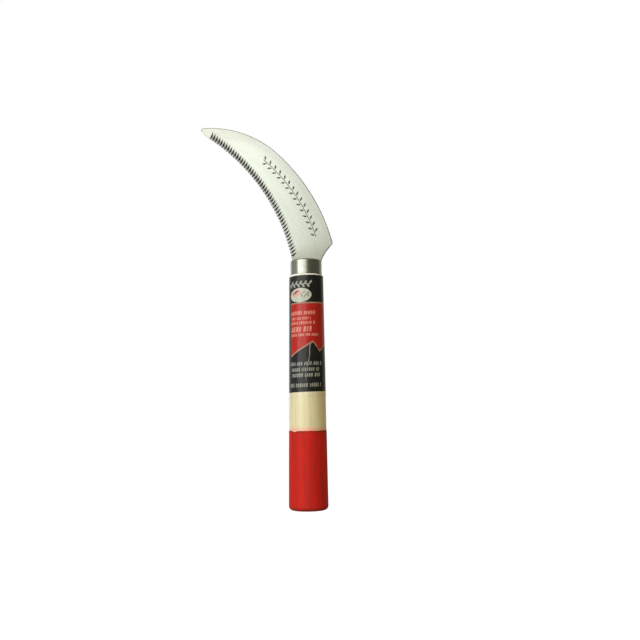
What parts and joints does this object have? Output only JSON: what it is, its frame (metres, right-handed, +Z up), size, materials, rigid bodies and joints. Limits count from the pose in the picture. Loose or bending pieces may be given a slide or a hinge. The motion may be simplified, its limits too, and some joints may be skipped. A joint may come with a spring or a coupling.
{
  "type": "saw-tooth harvest knife",
  "caption": "Fixed curved knife with a hollow saw-tooth edge, a metal ferrule and a round tapered wooden handle with a wrapped label and a painted butt.",
  "frame": {"origin": "centre of the flat end of the butt", "axes": "+Z up the handle's axis to the blade; the blade lies in the XZ plane and sweeps towards -X; its ground face looks towards -Y"},
  "size_m": [0.0925, 0.027, 0.2677],
  "materials": {
    "blade_steel": "satin stainless plate, finely ground",
    "ferrule_steel": "bright drawn stainless",
    "nail_steel": "plain bright wire nail",
    "handle_wood": "clear-lacquered pale hardwood",
    "label_film": "printed glossy film, black and red",
    "butt_coat": "dipped red paint, semi-gloss"
  },
  "bodies": {
    "root": {"blade": "blade_steel", "ferrule": "ferrule_steel", "tang_nail": "nail_steel", "handle": "handle_wood", "label_wrap": "label_film", "butt_paint": "butt_coat"}
  },
  "joints": []
}
